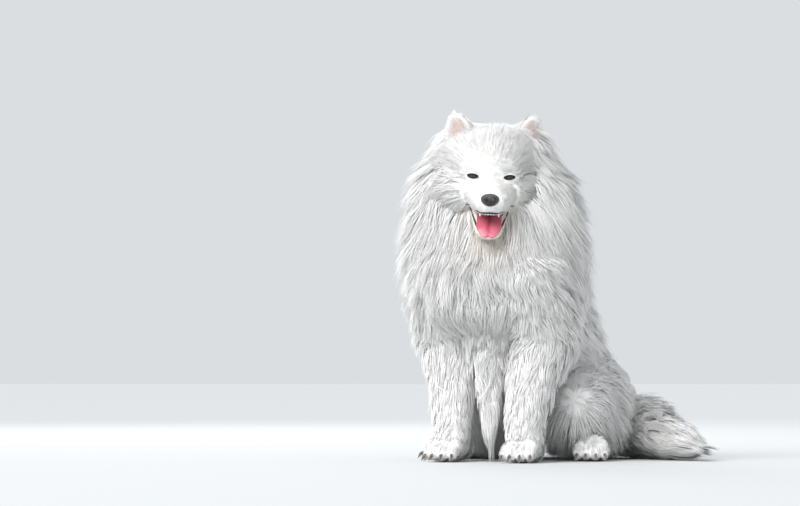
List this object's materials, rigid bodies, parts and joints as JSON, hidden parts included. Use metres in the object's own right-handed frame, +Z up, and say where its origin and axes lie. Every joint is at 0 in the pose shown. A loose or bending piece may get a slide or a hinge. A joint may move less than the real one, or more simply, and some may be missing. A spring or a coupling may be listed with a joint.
{
  "type": "samoyed dog",
  "caption": "Life-size long-haired white dog that sits upright and faces ahead with its mouth open, in one still pose.",
  "frame": {"origin": "middle of the floor under the whole dog", "axes": "+Z up from the floor, -Y the way the face looks, +X to the dog's left"},
  "size_m": [0.6348, 0.5816, 0.7101],
  "materials": {
    "coat": "long white fur",
    "ear": "short fur over pink skin",
    "nose": "dark moist leather",
    "eye": "wet and glossy",
    "tongue": "moist pink"
  },
  "bodies": {
    "root": {"head": "coat", "neck": "coat", "torso": "coat", "tail": "coat", "foreleg_left": "coat", "foreleg_right": "coat", "forepaw_left": "coat", "forepaw_right": "coat", "thigh_left": "coat", "thigh_right": "coat", "hindpaw_left": "coat", "hindpaw_right": "coat", "jaw": "coat", "ear_left": "ear", "ear_right": "ear", "nose": "nose", "tongue": "tongue", "eye_left": "eye", "eye_right": "eye"}
  },
  "joints": []
}
